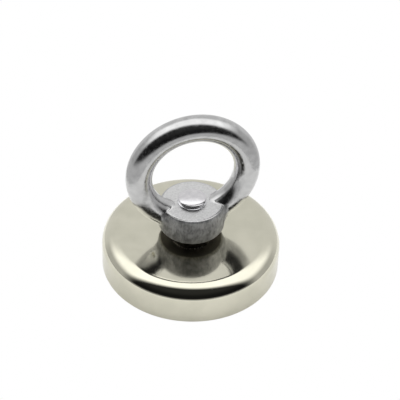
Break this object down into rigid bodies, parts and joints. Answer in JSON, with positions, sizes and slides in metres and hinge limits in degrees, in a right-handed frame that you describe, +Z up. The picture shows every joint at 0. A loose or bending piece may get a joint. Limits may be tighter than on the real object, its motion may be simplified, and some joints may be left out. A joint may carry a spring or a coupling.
{
  "type": "magnet fishing magnet",
  "caption": "Round pot magnet with a swivel eye on top, for retrieving iron and steel objects on a rope.",
  "frame": {"origin": "centre of the pull face, at the bottom of the pot's rim", "axes": "+Z up along the swivel axis, away from the pull face; the eye's hole faces Y at rest"},
  "size_m": [0.06, 0.06, 0.0608],
  "materials": {
    "nickel_plate": "bright nickel plating, mirror-like, slightly warm",
    "magnet_plate": "nickel-plated magnet face, semi-gloss",
    "resin": "dark cast epoxy resin, glossy",
    "brass_sleeve": "plain turned brass",
    "stud_steel": "bright steel, riveted head lightly polished",
    "washer_steel": "bright zinc-plated steel",
    "eye_steel": "polished forged steel ring, satin faced boss, matt boss side"
  },
  "bodies": {
    "magnet": {"steel_pot": "nickel_plate", "ring_magnet": "magnet_plate", "magnet_adhesive": "resin", "potting_ring": "resin", "spacer_sleeve": "brass_sleeve", "thread_plug": "resin", "swivel_stud": "stud_steel", "thrust_washer": "washer_steel", "rivet_washer": "washer_steel"},
    "eye": {"swivel_eye": "eye_steel"}
  },
  "joints": [
    {"name": "eye_swivel", "type": "hinge", "parent": "magnet", "child": "eye", "pos_m": [0, 0, 0.01655], "axis": [0, 0, 1], "continuous": true}
  ]
}
